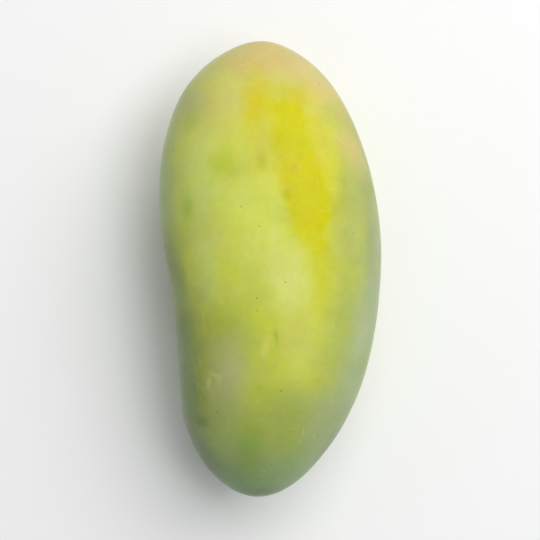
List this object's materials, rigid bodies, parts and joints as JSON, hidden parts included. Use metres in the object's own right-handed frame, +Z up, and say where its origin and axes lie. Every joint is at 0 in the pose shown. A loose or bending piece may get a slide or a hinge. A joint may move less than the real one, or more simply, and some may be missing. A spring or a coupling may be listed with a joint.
{
  "type": "mango",
  "caption": "Whole picked mango lying on its cheek: long kidney shape, full back, hollowed belly with a low beak, and a stalk stub in the basin at its top.",
  "frame": {"origin": "centre of the fruit's bounding box in X and Y, on the surface that it lies on", "axes": "+Y along the fruit to its stalk end, +Z up out of the upper cheek, +X out of the full back; the belly with the beak faces -X"},
  "size_m": [0.0734, 0.15, 0.0654],
  "materials": {
    "mango_skin": "smooth waxy peel, satin under a thin pale bloom, yellow to lime green with a pinkish shoulder",
    "dry_stalk": "matt dry woody fibre"
  },
  "bodies": {
    "root": {"fruit": "mango_skin", "stalk_stub": "dry_stalk"}
  },
  "joints": []
}
